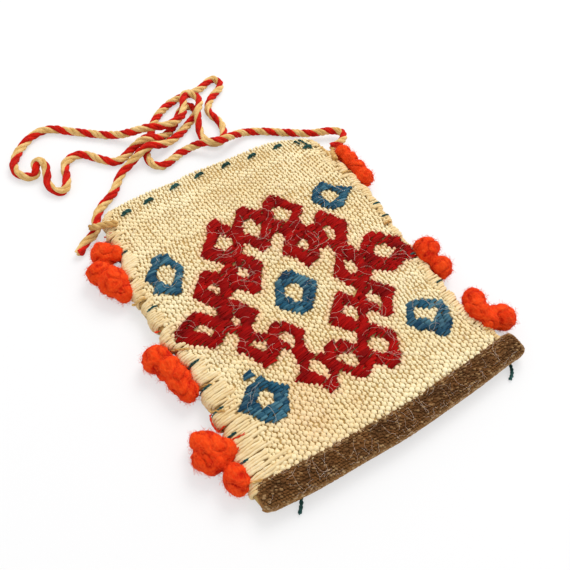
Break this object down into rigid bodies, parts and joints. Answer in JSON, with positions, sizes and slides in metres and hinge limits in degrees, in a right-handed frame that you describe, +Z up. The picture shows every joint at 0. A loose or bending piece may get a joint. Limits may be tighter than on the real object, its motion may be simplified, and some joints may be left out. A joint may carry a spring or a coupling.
{
  "type": "small woven pouch with twisted strap",
  "caption": "Small flat-woven wool pouch, open at the mouth, with brocaded diamonds, a dark band over the fold, fleece tufts along both sides and a twisted cord strap.",
  "frame": {"origin": "on the flat underside that the pouch lies on, below the middle of the cloth", "axes": "+X runs across the pouch from its left side edge to its right one, +Y runs from the fold at the band to the mouth, +Z points up out of the patterned front"},
  "size_m": [0.158, 0.226, 0.0128],
  "materials": {
    "cream_wool": "hand-spun wool in plain weave",
    "red_wool": "soft wool floats",
    "blue_wool": "soft wool floats",
    "brown_goat_hair": "dense hair band",
    "orange_fleece": "unspun fleece",
    "strap_yarn": "two red and two tan plies twisted together",
    "tan_yarn": "loose spun wool",
    "green_thread": "sewing wool"
  },
  "bodies": {
    "root": {"blue_motif_01": "blue_wool", "blue_motif_02": "blue_wool", "blue_motif_03": "blue_wool", "blue_motif_04": "blue_wool", "blue_motif_05": "blue_wool", "bottom_band": "brown_goat_hair", "hem_stitch_01": "green_thread", "hem_stitch_02": "green_thread", "hem_stitch_03": "green_thread", "hem_stitch_04": "green_thread", "hem_stitch_05": "green_thread", "hem_stitch_06": "green_thread", "hem_stitch_07": "green_thread", "hem_stitch_08": "green_thread", "pouch_cloth": "cream_wool", "red_motif_01": "red_wool", "red_motif_02": "red_wool", "red_motif_03": "red_wool", "red_motif_04": "red_wool", "red_motif_05": "red_wool", "red_motif_06": "red_wool", "red_motif_07": "red_wool", "red_motif_08": "red_wool", "red_motif_09": "red_wool", "red_motif_10": "red_wool", "red_motif_11": "red_wool", "red_motif_12": "red_wool", "red_motif_13": "red_wool", "red_motif_14": "red_wool", "red_motif_15": "red_wool", "red_motif_16": "red_wool", "red_motif_17": "red_wool", "red_motif_18": "red_wool", "side_stitch_left_01": "green_thread", "side_stitch_left_02": "green_thread", "side_stitch_left_03": "green_thread", "side_stitch_left_04": "green_thread", "side_stitch_left_05": "green_thread", "side_stitch_left_06": "green_thread", "side_stitch_left_07": "green_thread", "side_stitch_right_01": "green_thread", "side_stitch_right_02": "green_thread", "side_stitch_right_03": "green_thread", "side_stitch_right_04": "green_thread", "strap_cord": "strap_yarn", "strap_lashing_left": "tan_yarn", "strap_lashing_right": "tan_yarn", "thread_tail_left": "green_thread", "thread_tail_right": "green_thread", "tuft_left_lower": "orange_fleece", "tuft_left_middle": "orange_fleece", "tuft_left_upper": "orange_fleece", "tuft_right_lower": "orange_fleece", "tuft_right_middle": "orange_fleece", "tuft_right_upper": "orange_fleece"}
  },
  "joints": []
}
